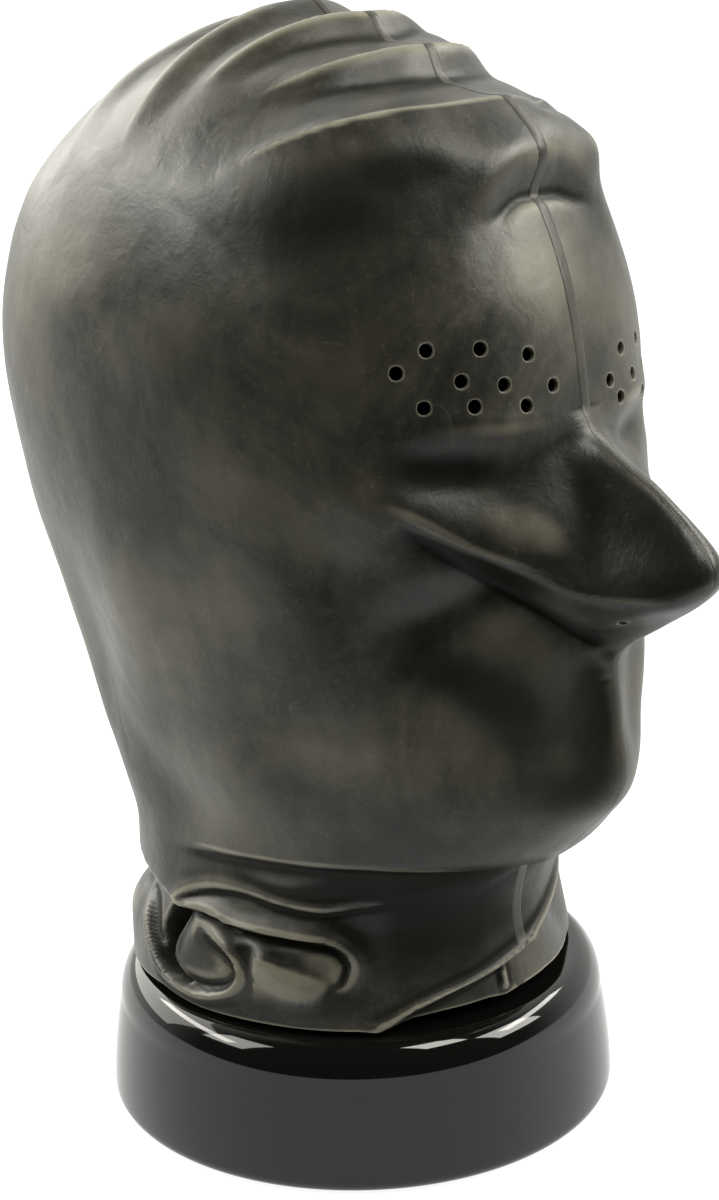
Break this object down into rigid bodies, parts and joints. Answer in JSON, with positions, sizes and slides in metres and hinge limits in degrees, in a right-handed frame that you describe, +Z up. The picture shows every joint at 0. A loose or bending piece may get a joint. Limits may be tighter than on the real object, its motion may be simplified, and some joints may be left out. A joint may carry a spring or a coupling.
{
  "type": "latex hood mask on a round display base",
  "caption": "Black latex hood that covers the whole head, with a pointed nose, clusters of small eye holes and a gathered neck, standing on a round glossy display base.",
  "frame": {"origin": "centre of the display base's flat underside", "axes": "+Z up, the face toward -Y, the wearer's left side toward +X"},
  "size_m": [0.1576, 0.2438, 0.3307],
  "materials": {
    "latex_sheet": "satin, dusted latex sheet",
    "seam_strip": "satin, a little worn",
    "base_gloss": "mirror gloss"
  },
  "bodies": {
    "root": {"hood_panel_right": "latex_sheet", "hood_panel_left": "latex_sheet", "hood_seam_strip": "seam_strip", "display_base": "base_gloss"}
  },
  "joints": []
}
